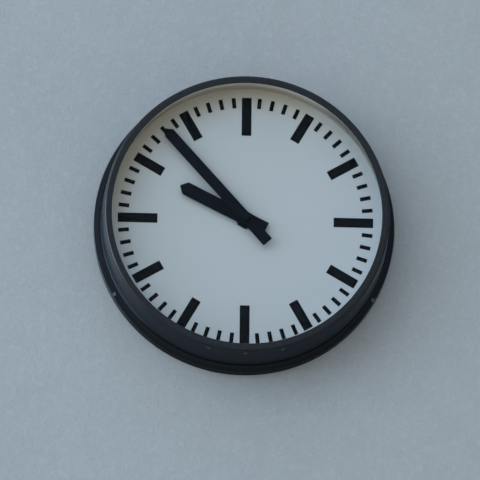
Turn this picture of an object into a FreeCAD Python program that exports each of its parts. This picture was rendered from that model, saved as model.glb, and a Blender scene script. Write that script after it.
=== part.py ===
"""A round wall clock of the station kind: a pressed wall pan, a spun bezel with its glass, a white dial
with bar marks, two bar hands, and a stepping movement with its gear train behind the dial.

Every piece is drawn in a drawing frame: x to the right and y up as the dial is read, z from the wall
towards the reader. FRONT then stands the drawing up, so that z runs along -Y and y along +Z.
All sizes are in millimetres and all angles in degrees.
"""

import FreeCAD, Part
import math
import os
import re

import Sketcher
from FreeCAD import Placement, Rotation, Vector

SIZES = {
    # Wall pan
    "case_radius": 219.0,
    "pan_depth": 26.0,
    "pan_sheet": 2.0,
    "shoulder_width": 8.0,
    "pan_shoulder": 6.0,
    "pan_heel": 1.5,
    "wall_hole_inset": 69.0,
    "wall_hole_radius": 3.5,
    "wall_hole_count": 3,
    "cable_hole_radius": 9.0,
    "cable_drop": 120.0,
    # Bezel
    "bezel_gap": 1.0,
    "bezel_taper": 3.6,
    "rim_width": 10.9,
    "tail_room": 4.0,
    "bezel_sheet": 1.5,
    "bezel_round": 4.0,
    "lip_sheet": 2.0,
    "lip_round": 0.8,
    "drain_radius": 1.5,
    "drain_inset": 9.5,
    "drain_step": 15.0,
    # Side screws
    "side_screw_count": 3,
    "side_screw_radius": 1.5,
    "side_screw_reach": 3.0,
    "side_seat_depth": 0.8,
    "side_seat_room": 0.3,
    "side_head_radius": 2.8,
    "side_head_height": 1.7,
    "side_slot_width": 0.8,
    "side_slot_depth": 0.8,
    # Glass and seal
    "glass_sheet": 4.0,
    "glass_edge_room": 2.9,
    "glass_room": 14.8,
    "seal_height": 7.0,
    "seal_step": 1.5,
    # Dial, its surround and its marks
    "dial_sheet": 2.0,
    "dial_play": 0.8,
    "surround_step": 3.5,
    "surround_sheet": 1.2,
    "flange_sheet": 1.5,
    "mark_film": 0.2,
    "mark_margin": 13.5,
    "minute_mark_length": 15.6,
    "minute_mark_width": 5.8,
    "hour_mark_length": 46.0,
    "hour_mark_width": 14.2,
    "quarter_mark_length": 57.6,
    # Dial pillars and screws
    "pillar_count": 4,
    "pillar_radius": 3.6,
    "spigot_radius": 2.5,
    "dial_screw_radius": 1.5,
    "dial_screw_length": 10.0,
    "dial_head_radius": 2.6,
    "dial_head_height": 2.0,
    # Hands
    "hour_hand_angle": 296.5,
    "hand_sheet": 1.2,
    "hand_gap": 1.8,
    "hour_hand_width": 20.0,
    "hour_hand_short": 78.0,
    "hour_hand_point": 9.2,
    "hour_hand_tail": 32.6,
    "minute_hand_width": 16.2,
    "minute_hand_short": 8.0,
    "minute_hand_point": 8.4,
    "minute_hand_tail": 47.6,
    "boss_flange": 1.6,
    "hour_boss_radius": 9.4,
    "hour_neck_radius": 7.0,
    "minute_boss_radius": 7.6,
    "minute_neck_radius": 5.2,
    "neck_height": 1.8,
    "hand_nut_radius": 5.0,
    "hand_nut_height": 4.5,
    "nut_crown": 1.8,
    # Movement case
    "movement_side": 84.0,
    "movement_wall": 3.0,
    "movement_corner": 8.0,
    "movement_depth": 24.5,
    "back_room": 12.5,
    "cover_sheet": 2.5,
    "bushing_wall": 2.9,
    "washer_radius": 16.0,
    "washer_sheet": 1.5,
    "nut_flats": 24.0,
    "nut_height": 3.6,
    "post_radius": 4.0,
    "post_sink": 1.0,
    "cover_screw_radius": 1.3,
    "cover_screw_length": 12.0,
    "cover_head_radius": 2.6,
    "cover_head_height": 1.8,
    # Gear train
    "pressure_angle": 25.0,
    "addendum": 0.9,
    "dedendum": 1.2,
    "backlash": 0.1,
    "train_module": 0.5,
    "motion_module": 0.7,
    "rotor_pinion_teeth": 12,
    "third_wheel_teeth": 60,
    "third_pinion_teeth": 12,
    "minute_wheel_teeth": 72,
    "cannon_pinion_teeth": 15,
    "reverser_wheel_teeth": 45,
    "reverser_pinion_teeth": 12,
    "hour_wheel_teeth": 48,
    "wheel_sheet": 2.0,
    "pinion_height": 4.0,
    "level_gap": 1.0,
    "minute_arbor_radius": 3.0,
    "tube_wall": 2.0,
    "arbor_radius": 1.5,
    "pivot_radius": 1.0,
    "pivot_length": 1.6,
    "knob_radius": 8.0,
    "knob_height": 6.0,
    "knob_notch_radius": 1.0,
    "knob_notch_count": 18,
    # Stepping motor
    "rotor_radius": 5.0,
    "rotor_height": 7.0,
    "rotor_air_gap": 1.0,
    "pole_margin": 1.0,
    "stator_sheet": 2.0,
    "stator_half_length": 30.0,
    "stator_leg": 8.0,
    "core_width": 5.0,
    "core_room": 4.5,
    "bobbin_length": 30.0,
    "bobbin_shift": 6.0,
    "bobbin_flange": 1.2,
    "bobbin_wall": 0.8,
    "winding_build": 2.6,
    # Supply
    "block_width": 30.0,
    "block_height": 18.0,
    "block_depth": 12.0,
    "block_drop": 80.0,
    "clamp_screw_radius": 2.2,
    "clamp_screw_height": 3.0,
    "lead_radius": 0.9,
    "lead_spread": 5.0,
    "lead_rise": 9.0,
    "lead_bend": 10.0,
    "grommet_flange": 3.0,
    "grommet_lip": 1.6,
    "grommet_bore": 4.0,
    # Fits
    "run_gap": 0.05,
    "fit_gap": 0.02,
    "seat_gap": 0.1,
    "slide_gap": 0.3,
}

# Sizes that follow from the ones above
FOLLOWS = {
    # Radii, from the case inwards
    "mouth_radius": "case_radius - shoulder_width",
    "bezel_root_radius": "mouth_radius - bezel_gap",
    "bezel_front_radius": "bezel_root_radius - bezel_taper",
    "skirt_inside": "bezel_root_radius - bezel_sheet",
    "bezel_inside": "bezel_front_radius - bezel_sheet",
    "opening_radius": "bezel_front_radius - rim_width",
    "glass_radius": "bezel_inside - glass_edge_room",
    "seal_radius": "opening_radius + seal_step",
    "surround_radius": "opening_radius + surround_step",
    "bezel_at_dial": "skirt_inside - bezel_taper * (dial_face - pan_depth) / (overall_depth - pan_depth)",
    "dial_radius": "bezel_at_dial - dial_play",
    "flange_radius": "dial_radius - slide_gap",
    "pillar_circle": "surround_radius + surround_sheet + dial_head_radius + slide_gap",
    "shoulder_circle": "case_radius - pan_shoulder",
    "mark_radius": "surround_radius - mark_margin",
    "minute_hand_tip": "mark_radius - minute_hand_short",
    "hour_hand_tip": "mark_radius - hour_hand_short",
    "wall_hole_circle": "case_radius - wall_hole_inset",
    "tube_radius": "minute_arbor_radius + run_gap + tube_wall",
    "bushing_radius": "tube_radius + run_gap + bushing_wall",
    "dial_hole_radius": "bushing_radius + seat_gap",
    # Levels, from the wall forwards
    "shoulder_level": "pan_depth - pan_shoulder",
    "bezel_tail": "pan_sheet + tail_room",
    "knob_back": "pan_sheet + back_room",
    "knob_front": "knob_back + knob_height",
    "cover_back": "knob_front + level_gap",
    "movement_back": "cover_back + cover_sheet",
    "movement_front": "movement_back + movement_depth",
    "cavity_front": "movement_front - movement_wall",
    "dial_back": "movement_front + washer_sheet",
    "dial_face": "dial_back + dial_sheet",
    "bushing_front": "dial_face + nut_height + level_gap",
    "hour_hand_level": "bushing_front + level_gap + boss_flange",
    "minute_hand_level": "hour_hand_level + neck_height + boss_flange + hand_gap",
    "nut_seat": "minute_hand_level + neck_height",
    "nut_floor": "nut_seat + hand_nut_height - nut_crown",
    "nut_front": "nut_seat + hand_nut_height",
    "seal_back": "nut_front + glass_room",
    "glass_back": "seal_back + (seal_height - glass_sheet) / 2",
    "lip_back": "seal_back + seal_height",
    "overall_depth": "lip_back + lip_sheet",
    "drain_depth": "lip_back - drain_inset",
    # Gear centres
    "motion_centres": "motion_module * (cannon_pinion_teeth + reverser_wheel_teeth) / 2",
    "train_centres": "train_module * (third_pinion_teeth + minute_wheel_teeth) / 2",
    "rotor_centres": "train_module * (rotor_pinion_teeth + third_wheel_teeth) / 2",
    # Gear levels, from the front of the movement's cavity back to its cover
    "hour_level": "cavity_front - level_gap - wheel_sheet",
    "reverser_level": "hour_level - 2 * level_gap - wheel_sheet",
    "minute_level": "reverser_level - 2 * level_gap - wheel_sheet",
    "third_level": "minute_level - 2 * level_gap - wheel_sheet",
    "rotor_level": "minute_level + wheel_sheet",
    "stator_level": "rotor_level + (rotor_height - stator_sheet) / 2",
    # Movement case and coil
    "post_place": "movement_side / 2 - movement_wall - post_radius + post_sink",
    "core_middle": "pole_high + core_room + core_width / 2",
    "core_low": "core_middle - core_width / 2",
    "core_high": "core_middle + core_width / 2",
    "pole_low": "rotor_centres - rotor_radius - rotor_air_gap - pole_margin",
    "pole_high": "rotor_centres + rotor_radius + rotor_air_gap + pole_margin",
    "bobbin_left": "-bobbin_shift - bobbin_length / 2",
    "bobbin_right": "-bobbin_shift + bobbin_length / 2",
}

# Arbor places behind the dial, as the train's centre distances set them
REVERSER_AT = ("0", "-motion_centres")
THIRD_AT = ("train_centres", "0")
ROTOR_AT = ("train_centres", "rotor_centres")

# Gear levels, from the front of the movement's cavity back to its cover

FRONT = Placement(Vector(0, 0, 0), Rotation(Vector(1, 0, 0), 90))
TOP_ROLE, SIDE_ROLE = "XY_Plane", "XZ_Plane"
FULL_TURN = 360

doc = FreeCAD.newDocument("station_clock")
sheet = doc.addObject("Spreadsheet::Sheet", "Sizes")
for row, (size_name, size) in enumerate(SIZES.items(), start=1):
    sheet.set(f"A{row}", size_name)
    sheet.set(f"B{row}", str(size))
    sheet.setAlias(f"B{row}", size_name)
doc.recompute()

pieces = []


def bound(text):
    """An expression with each size's name pointed at its cell, and each following size written out."""

    def point(word):
        name = word[0]
        if name in FOLLOWS:
            return f"({bound(FOLLOWS[name])})"
        return f"Sizes.{name}" if name in SIZES else name

    return re.sub(r"[a-z][a-z_]*", point, str(text))


def value(text):
    """An expression's number for the sizes in the sheet."""
    return float(sheet.evalExpression(bound(text)))


def new_body(label):
    body = doc.addObject("PartDesign::Body", label)
    body.Label = label
    body.AllowCompound = True
    return body


def finish(piece, spin=0.0):
    """Stands a finished piece up in front of the wall, turned clockwise by spin about the clock's axis."""
    piece.Placement = FRONT.multiply(Placement(Vector(0, 0, 0), Rotation(Vector(0, 0, 1), -spin)))
    pieces.append(piece)


def new_sketch(body, role=TOP_ROLE, level="0"):
    """A sketch on one of the body's own planes, moved along the plane's normal to level."""
    sketch = body.newObject("Sketcher::SketchObject", "Outline")
    plane = next(f for f in body.Origin.OriginFeatures if f.Role == role)
    sketch.AttachmentSupport = (plane, [""])
    sketch.MapMode = "FlatFace"
    sketch.setExpression("AttachmentOffset.Base.z", bound(level))
    return sketch


def hold(sketch, kind, geometry, point, text):
    """Holds a point at a driven distance from the sketch's origin."""
    number = sketch.addConstraint(Sketcher.Constraint(kind, -1, 1, geometry, point, value(text)))
    sketch.setExpression(f"Constraints[{number}]", bound(text))


def draw_outline(sketch, corners):
    """A closed outline of straight sides whose corners sit at driven places."""
    places = [Vector(value(x), value(y), 0) for x, y in corners]
    first = sketch.GeometryCount
    count = len(places)
    for i in range(count):
        sketch.addGeometry(Part.LineSegment(places[i], places[(i + 1) % count]), False)
    for i in range(count):
        sketch.addConstraint(Sketcher.Constraint("Coincident", first + i, 2, first + (i + 1) % count, 1))
    for i, (x, y) in enumerate(corners):
        hold(sketch, "DistanceX", first + i, 1, x)
        hold(sketch, "DistanceY", first + i, 1, y)


def draw_circle(sketch, radius, x="0", y="0"):
    circle = Part.Circle(Vector(value(x), value(y), 0), Vector(0, 0, 1), value(radius))
    number = sketch.addGeometry(circle, False)
    hold(sketch, "DistanceX", number, 3, x)
    hold(sketch, "DistanceY", number, 3, y)
    limit = sketch.addConstraint(Sketcher.Constraint("Radius", number, value(radius)))
    sketch.setExpression(f"Constraints[{limit}]", bound(radius))


def draw_box(sketch, left, low, right, high):
    draw_outline(sketch, [(left, low), (right, low), (right, high), (left, high)])


def pad(body, sketch, length):
    feature = body.newObject("PartDesign::Pad", "Pad")
    feature.Profile = sketch
    feature.setExpression("Length", bound(length))
    return feature


def pocket(body, sketch, length):
    """A cut from the sketch against its plane's normal."""
    feature = body.newObject("PartDesign::Pocket", "Pocket")
    feature.Profile = sketch
    feature.setExpression("Length", bound(length))
    return feature


def disc(body, radius, low, high, x="0", y="0"):
    """A round boss between two levels."""
    sketch = new_sketch(body, TOP_ROLE, low)
    draw_circle(sketch, radius, x, y)
    return pad(body, sketch, f"{high} - ({low})")


def hole(body, radius, low, high, x="0", y="0"):
    """A round hole between two levels."""
    sketch = new_sketch(body, TOP_ROLE, high)
    draw_circle(sketch, radius, x, y)
    return pocket(body, sketch, f"{high} - ({low})")


def slant_sketch(body, along):
    """A sketch square to the side screw's axis at twelve o'clock.

    The axis slants forwards through the centre of the pan shoulder's rounding, and along is measured from there.
    """
    sketch = new_sketch(body, SIDE_ROLE, f"-(shoulder_circle + ({along}) * cos({SCREW_SLANT}))")
    sketch.AttachmentOffset = Placement(sketch.AttachmentOffset.Base, Rotation(Vector(1, 0, 0), SCREW_SLANT))
    sketch.setExpression("AttachmentOffset.Base.y", bound(f"shoulder_level + ({along}) * sin({SCREW_SLANT})"))
    return sketch


def slant_disc(body, radius, low, high):
    """A round boss along the side screw's axis."""
    sketch = slant_sketch(body, high)
    draw_circle(sketch, radius)
    return pad(body, sketch, f"{high} - ({low})")


def slant_hole(body, radius, low, high):
    """A round hole along the side screw's axis."""
    sketch = slant_sketch(body, low)
    draw_circle(sketch, radius)
    return pocket(body, sketch, f"{high} - ({low})")


def radial_hole(body, radius, inner, outer, level, turn=0):
    """A round hole that points out from the clock's axis at twelve o'clock, or turned from there."""
    sketch = new_sketch(body, SIDE_ROLE, f"-({inner}) * cos({turn})")
    sketch.AttachmentOffset = Placement(sketch.AttachmentOffset.Base, Rotation(Vector(0, 1, 0), turn))
    sketch.setExpression("AttachmentOffset.Base.x", bound(f"-({inner}) * sin({turn})"))
    draw_circle(sketch, radius, "0", level)
    return pocket(body, sketch, f"{outer} - ({inner})")


def turned(body, profile):
    """A solid of revolution about the clock's axis from (radius, level) corners."""
    sketch = new_sketch(body, SIDE_ROLE)
    draw_outline(sketch, profile)
    feature = body.newObject("PartDesign::Revolution", "Turned")
    feature.Profile = sketch
    feature.ReferenceAxis = (sketch, ["V_Axis"])
    feature.Angle = FULL_TURN
    return feature


def around(body, originals, count, angle=FULL_TURN):
    """Copies of features, evenly spaced about the clock's axis."""
    pattern = body.newObject("PartDesign::PolarPattern", "Around")
    pattern.Originals = originals
    axis = next(f for f in body.Origin.OriginFeatures if f.Role == "Z_Axis")
    pattern.Axis = (axis, [""])
    pattern.Angle = angle
    pattern.setExpression("Occurrences", bound(count))
    body.Tip = pattern
    return pattern


def round_edges(body, feature, radius, wanted):
    """Rounds those edges of a feature that wanted picks."""
    doc.recompute()
    names = [f"Edge{n}" for n, edge in enumerate(feature.Shape.Edges, start=1) if wanted(edge)]
    fillet = body.newObject("PartDesign::Fillet", "Rounding")
    fillet.Base = (feature, names)
    fillet.setExpression("Radius", bound(radius))
    return fillet


def rim(radius, level):
    """Picks the circular edges of that radius and level about the clock's axis."""

    def wanted(edge):
        curve = edge.Curve
        if not isinstance(curve, Part.Circle):
            return False
        return math.isclose(curve.Radius, value(radius), abs_tol=1e-4) and math.isclose(
            curve.Center.z, value(level), abs_tol=1e-4
        )

    return wanted


def upright(edge):
    """Picks the straight edges that run towards the reader."""
    return isinstance(edge.Curve, Part.Line) and abs(abs(edge.Curve.Direction.z) - 1) < 1e-6


def ring(label, inner, outer, low, high):
    body = new_body(label)
    turned(body, [(inner, low), (outer, low), (outer, high), (inner, high)])
    return body


def polar(circle, angle):
    """Where a place on a circle lies, with the angle clockwise from twelve o'clock."""
    return f"({circle}) * sin({angle})", f"({circle}) * cos({angle})"


PILLAR_START = 45
PILLAR_AT = polar("pillar_circle", PILLAR_START)
SCREW_SLANT = 58
SCREW_SEAT = "pan_shoulder - side_seat_depth"
SKIRT_OUTSIDE = f"(bezel_root_radius - shoulder_circle) / cos({SCREW_SLANT})"
SKIRT_INSIDE = f"(skirt_inside - shoulder_circle) / cos({SCREW_SLANT})"


def make_wall_pan():
    """The pressed pan that is fixed to the wall, with a rounded shoulder turned in to the bezel."""
    body = new_body("wall_pan")
    mouth = "bezel_root_radius + bezel_gap"
    inside = "case_radius - pan_sheet"
    shoulder = "pan_depth - pan_sheet"
    shell = turned(
        body,
        [
            ("0", "0"),
            ("case_radius", "0"),
            ("case_radius", "pan_depth"),
            (mouth, "pan_depth"),
            (mouth, shoulder),
            (inside, shoulder),
            (inside, "pan_sheet"),
            ("0", "pan_sheet"),
        ],
    )
    outer = round_edges(body, shell, "pan_shoulder", rim("case_radius", "pan_depth"))
    inner = round_edges(body, outer, "pan_shoulder - pan_sheet", rim(inside, shoulder))
    round_edges(body, inner, "pan_heel", rim("case_radius", "0"))
    wall_hole = hole(body, "wall_hole_radius", "0", "pan_sheet", "0", "wall_hole_circle")
    around(body, [wall_hole], "wall_hole_count")
    spigot_hole = hole(body, "spigot_radius + fit_gap", "0", "pan_sheet", *PILLAR_AT)
    around(body, [spigot_hole], "pillar_count")
    hole(body, "cable_hole_radius", "0", "pan_sheet", "0", "-cable_drop")
    spot = slant_hole(body, "side_head_radius + side_seat_room", SCREW_SEAT, "pan_shoulder + pan_sheet")
    side = slant_hole(body, "side_screw_radius + run_gap", "0", "pan_shoulder + pan_sheet")
    around(body, [spot, side], "side_screw_count")
    finish(body)


def make_front_bezel():
    """The spun ring that carries the glass, with its skirt inside the pan's shoulder."""
    body = new_body("front_bezel")
    shell = turned(
        body,
        [
            ("bezel_root_radius", "bezel_tail"),
            ("bezel_root_radius", "pan_depth"),
            ("bezel_front_radius", "overall_depth"),
            ("opening_radius", "overall_depth"),
            ("opening_radius", "lip_back"),
            ("bezel_inside", "lip_back"),
            ("skirt_inside", "pan_depth"),
            ("skirt_inside", "bezel_tail"),
        ],
    )
    brow = round_edges(body, shell, "bezel_round", rim("bezel_front_radius", "overall_depth"))
    edge = round_edges(body, brow, "lip_round", rim("opening_radius", "overall_depth"))
    round_edges(body, edge, "lip_round", rim("opening_radius", "lip_back"))
    through = ("bezel_front_radius - 2 * bezel_sheet", "bezel_root_radius + bezel_sheet")
    side = slant_hole(
        body,
        "side_screw_radius + run_gap",
        f"{SKIRT_INSIDE} - 2 * side_screw_radius",
        f"{SKIRT_OUTSIDE} + 2 * side_screw_radius",
    )
    around(body, [side], "side_screw_count")
    drains = [
        radial_hole(body, "drain_radius", *through, "drain_depth", 180 + step * value("drain_step"))
        for step in (-1, 0, 1)
    ]
    body.Tip = drains[-1]
    finish(body)


def make_side_screws():
    """Slotted screws through the pan's shoulder into the bezel's skirt, slanting back and inwards."""
    body = new_body("side_screws")
    seat = f"{SCREW_SEAT} + seat_gap"
    top = f"{seat} + side_head_height"
    shank = slant_disc(body, "side_screw_radius", f"{SKIRT_INSIDE} - side_screw_reach", seat)
    head = slant_disc(body, "side_head_radius", seat, top)
    slot = slant_sketch(body, f"{top} - side_slot_depth")
    draw_box(slot, "-side_head_radius", "-side_slot_width / 2", "side_head_radius", "side_slot_width / 2")
    cut = pocket(body, slot, "side_slot_depth")
    around(body, [shank, head, cut], "side_screw_count")
    finish(body)


def make_glass_seal():
    """The channel seal that wraps the edge of the glass."""
    body = new_body("glass_seal")
    groove = "glass_radius + seat_gap"
    outside = "bezel_inside - slide_gap"
    turned(
        body,
        [
            ("seal_radius", "seal_back"),
            (outside, "seal_back"),
            (outside, "lip_back"),
            ("seal_radius", "lip_back"),
            ("seal_radius", "glass_back + glass_sheet + seat_gap"),
            (groove, "glass_back + glass_sheet + seat_gap"),
            (groove, "glass_back - seat_gap"),
            ("seal_radius", "glass_back - seat_gap"),
        ],
    )
    finish(body)


def make_cover_glass():
    body = new_body("cover_glass")
    disc(body, "glass_radius", "glass_back", "glass_back + glass_sheet")
    finish(body)


def make_dial_surround():
    """The white ring between dial and glass, screwed down through its foot flange."""
    body = new_body("dial_surround")
    wall = "surround_radius + surround_sheet"
    turned(
        body,
        [
            ("surround_radius", "dial_face"),
            ("flange_radius", "dial_face"),
            ("flange_radius", "dial_face + flange_sheet"),
            (wall, "dial_face + flange_sheet"),
            (wall, "seal_back"),
            ("surround_radius", "seal_back"),
        ],
    )
    screw = hole(body, "dial_screw_radius + run_gap", "dial_face", "dial_face + flange_sheet", *PILLAR_AT)
    around(body, [screw], "pillar_count")
    finish(body)


def make_dial_plate():
    body = new_body("dial_plate")
    disc(body, "dial_radius", "dial_back", "dial_face")
    hole(body, "dial_hole_radius", "dial_back", "dial_face")
    screw = hole(body, "dial_screw_radius + run_gap", "dial_back", "dial_face", *PILLAR_AT)
    around(body, [screw], "pillar_count")
    finish(body)


def draw_mark(sketch, length, width, angle):
    """A bar mark at an angle clockwise from twelve o'clock, its outer end on the mark circle."""

    def corner(radius, side):
        across = f"{side} * {width} / 2"
        return (
            f"({radius}) * sin({angle}) + {across} * cos({angle})",
            f"({radius}) * cos({angle}) - {across} * sin({angle})",
        )

    inner, outer = f"mark_radius - {length}", "mark_radius"
    draw_outline(sketch, [corner(inner, -1), corner(inner, 1), corner(outer, 1), corner(outer, -1)])


def make_marks(label, length, width, angles, count):
    """Printed bar marks: those at the given angles, repeated around the dial."""
    body = new_body(label)
    sketch = new_sketch(body, TOP_ROLE, "dial_face")
    for angle in angles:
        draw_mark(sketch, length, width, angle)
    around(body, [pad(body, sketch, "mark_film")], count)
    finish(body)


def make_dial_pillars():
    """Posts riveted into the pan, drilled at the front for the dial screws."""
    body = new_body("dial_pillars")
    post = disc(body, "pillar_radius", "pan_sheet", "dial_back", *PILLAR_AT)
    spigot = disc(body, "spigot_radius", "0", "pan_sheet", *PILLAR_AT)
    tapped = hole(
        body, "dial_screw_radius + run_gap", "dial_back - dial_screw_length", "dial_back", *PILLAR_AT
    )
    around(body, [post, spigot, tapped], "pillar_count")
    finish(body)


def make_dial_screws():
    body = new_body("dial_screws")
    seat = "(dial_face + flange_sheet)"
    shank = disc(body, "dial_screw_radius", f"{seat} - dial_screw_length", seat, *PILLAR_AT)
    head = disc(body, "dial_head_radius", seat, f"{seat} + dial_head_height", *PILLAR_AT)
    around(body, [shank, head], "pillar_count")
    finish(body)


def make_hand(label, width, tip, point, tail, level, bore, spin):
    """A parallel bar hand with a blunt point and a square tail, drilled for its boss."""
    body = new_body(label)
    sketch = new_sketch(body, TOP_ROLE, level)
    draw_outline(
        sketch,
        [
            (f"-{width} / 2", f"-{tail}"),
            (f"{width} / 2", f"-{tail}"),
            (f"{width} / 2", f"{tip} - {point}"),
            ("0", tip),
            (f"-{width} / 2", f"{tip} - {point}"),
        ],
    )
    draw_circle(sketch, bore)
    pad(body, sketch, "hand_sheet")
    finish(body, spin)


def make_boss(label, bore, flange, neck, level):
    """The turned boss a hand is riveted to."""
    body = new_body(label)
    turned(
        body,
        [
            (bore, f"{level} - boss_flange"),
            (flange, f"{level} - boss_flange"),
            (flange, level),
            (neck, level),
            (neck, f"{level} + neck_height"),
            (bore, f"{level} + neck_height"),
        ],
    )
    finish(body)


def make_hand_nut():
    """The domed nut on the end of the minute arbor."""
    body = new_body("hand_nut")
    bore = "minute_arbor_radius + fit_gap"
    cap = turned(
        body,
        [
            ("0", "nut_floor"),
            (bore, "nut_floor"),
            (bore, "nut_seat"),
            ("hand_nut_radius", "nut_seat"),
            ("hand_nut_radius", "nut_front"),
            ("0", "nut_front"),
        ],
    )
    round_edges(body, cap, "nut_crown", rim("hand_nut_radius", "nut_front"))
    finish(body)


def square(sketch, half, corner_x="0", corner_y="0"):
    draw_box(
        sketch, f"{corner_x} - ({half})", f"{corner_y} - ({half})", f"{corner_x} + {half}", f"{corner_y} + {half}"
    )




def make_movement_frame():
    """The movement's moulded front shell with its threaded bushing, screw posts and pivot holes."""
    body = new_body("movement_frame")
    outer = new_sketch(body, TOP_ROLE, "movement_back")
    square(outer, "movement_side / 2")
    block = pad(body, outer, "movement_depth")
    round_edges(body, block, "movement_corner", upright)
    cavity = new_sketch(body, TOP_ROLE, "cavity_front")
    square(cavity, "movement_side / 2 - movement_wall")
    pocket(body, cavity, "cavity_front - movement_back")
    post = disc(body, "post_radius", "movement_back", "cavity_front + level_gap", "post_place", "post_place")
    around(body, [post], "4")
    disc(body, "bushing_radius", "movement_front - level_gap", "bushing_front")
    hole(body, "tube_radius + run_gap", "cavity_front - level_gap", "bushing_front")
    screw = hole(
        body,
        "cover_screw_radius + run_gap",
        "movement_back",
        "movement_back + cover_screw_length",
        "post_place",
        "post_place",
    )
    around(body, [screw], "4")
    for x, y in (REVERSER_AT, THIRD_AT, ROTOR_AT):
        hole(body, "pivot_radius + run_gap", "cavity_front", "cavity_front + pivot_length + seat_gap", x, y)
    finish(body)


def make_movement_cover():
    """The movement's rear plate, with pivot holes and two holes for the leads."""
    body = new_body("movement_cover")
    outer = new_sketch(body, TOP_ROLE, "cover_back")
    square(outer, "movement_side / 2")
    plate = pad(body, outer, "cover_sheet")
    round_edges(body, plate, "movement_corner", upright)
    screw = hole(body, "cover_screw_radius + run_gap", "cover_back", "movement_back", "post_place", "post_place")
    around(body, [screw], "4")
    for x, y in (("0", "0"), THIRD_AT, ROTOR_AT):
        hole(body, "pivot_radius + run_gap", "cover_back", "movement_back", x, y)
    hole(body, "arbor_radius + run_gap", "cover_back", "movement_back", *REVERSER_AT)
    for side in ("-lead_spread", "lead_spread"):
        hole(body, "lead_radius + slide_gap", "cover_back", "movement_back", side, "core_middle")
    finish(body)


def make_cover_screws():
    body = new_body("cover_screws")
    shank = disc(
        body,
        "cover_screw_radius",
        "cover_back",
        "movement_back + cover_screw_length - level_gap",
        "post_place",
        "post_place",
    )
    head = disc(body, "cover_head_radius", "cover_back - cover_head_height", "cover_back", "post_place", "post_place")
    around(body, [shank, head], "4")
    finish(body)


def make_fixing_nut():
    """The hexagon nut that clamps the movement to the dial."""
    body = new_body("fixing_nut")
    sketch = new_sketch(body, TOP_ROLE, "dial_face")
    corners = [polar("nut_flats / 2 / cos(30)", 60 * i) for i in range(6)]
    draw_outline(sketch, corners)
    draw_circle(sketch, "bushing_radius + fit_gap")
    pad(body, sketch, "nut_height")
    finish(body)


def involute(angle):
    return math.tan(angle) - angle


def gear_face(teeth, module):
    """A spur gear's face about the origin, with one tooth centred on +x."""
    pitch_radius = module * teeth / 2
    pressure = math.radians(value("pressure_angle"))
    base = pitch_radius * math.cos(pressure)
    tip = pitch_radius + value("addendum") * module
    root = pitch_radius - value("dedendum") * module
    start = max(base, root)
    half_tooth = math.pi / (2 * teeth) - value("backlash") / (2 * pitch_radius)

    def half_angle(radius):
        return half_tooth + involute(pressure) - involute(math.acos(min(1.0, base / radius)))

    def at(radius, angle):
        return Vector(radius * math.cos(angle), radius * math.sin(angle), 0)

    edges = []
    step = 2 * math.pi / teeth
    middle = (start + tip) / 2
    for tooth in range(teeth):
        centre = tooth * step
        rise, fall = centre - half_angle(start), centre + half_angle(start)
        if root < start:
            edges.append(Part.LineSegment(at(root, rise), at(start, rise)).toShape())
        flank = at(start, rise), at(middle, centre - half_angle(middle)), at(tip, centre - half_angle(tip))
        edges.append(Part.Arc(*flank).toShape())
        land = at(tip, centre - half_angle(tip)), at(tip, centre), at(tip, centre + half_angle(tip))
        edges.append(Part.Arc(*land).toShape())
        back = at(tip, centre + half_angle(tip)), at(middle, centre + half_angle(middle)), at(start, fall)
        edges.append(Part.Arc(*back).toShape())
        if root < start:
            edges.append(Part.LineSegment(at(start, fall), at(root, fall)).toShape())
        next_rise = rise + step
        floor = at(root, fall), at(root, (fall + next_rise) / 2), at(root, next_rise)
        edges.append(Part.Arc(*floor).toShape())
    return Part.Face(Part.Wire(edges))


def gear_solid(teeth, module, low, high, place, turn):
    """A gear between two levels, centred at place and turned so that one tooth points along turn."""
    solid = gear_face(int(value(teeth)), value(module)).extrude(Vector(0, 0, value(f"{high} - ({low})")))
    solid.rotate(Vector(0, 0, 0), Vector(0, 0, 1), turn)
    solid.translate(Vector(value(place[0]), value(place[1]), value(low)))
    return solid


def rod(radius, low, high, place):
    base = Vector(value(place[0]), value(place[1]), value(low))
    return Part.makeCylinder(value(radius), value(f"{high} - ({low})"), base)


def add_shape(label, shape):
    piece = doc.addObject("Part::Feature", label)
    piece.Label = label
    piece.Shape = shape.removeSplitter()
    finish(piece)


def half_gap(teeth):
    """The turn from a tooth to the next gap."""
    return 180 / value(teeth)


AXIS_AT = ("0", "0")
UP, DOWN, RIGHT, LEFT = 90, -90, 0, 180


def make_minute_arbor():
    """The centre arbor with the cannon pinion that drives the motion work."""
    solid = rod(
        "minute_arbor_radius",
        "movement_back + level_gap",
        "nut_floor - seat_gap",
        AXIS_AT,
    )
    solid = solid.fuse(rod("pivot_radius", "cover_back", "movement_back + level_gap", AXIS_AT))
    low = "(reverser_level - level_gap)"
    pinion = gear_solid(
        "cannon_pinion_teeth", "motion_module", low, f"{low} + pinion_height", AXIS_AT, DOWN
    )
    add_shape("minute_arbor", solid.fuse(pinion))


def make_wheel(label, teeth, module, low, place, turn, bore):
    """A flat wheel with a round bore."""
    blank = gear_solid(teeth, module, low, f"{low} + wheel_sheet", place, turn)
    add_shape(label, blank.cut(rod(bore, low, f"{low} + wheel_sheet", place)))


def make_third_arbor():
    low = "(minute_level - level_gap)"
    solid = rod("arbor_radius", "movement_back + level_gap", "cavity_front - level_gap", THIRD_AT)
    for pivot in (
        rod("pivot_radius", "cover_back", "movement_back + level_gap", THIRD_AT),
        rod("pivot_radius", "cavity_front - level_gap", "cavity_front + pivot_length", THIRD_AT),
    ):
        solid = solid.fuse(pivot)
    pinion = gear_solid(
        "third_pinion_teeth",
        "train_module",
        low,
        f"{low} + pinion_height",
        THIRD_AT,
        LEFT + half_gap("third_pinion_teeth"),
    )
    add_shape("third_arbor", solid.fuse(pinion))


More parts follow.
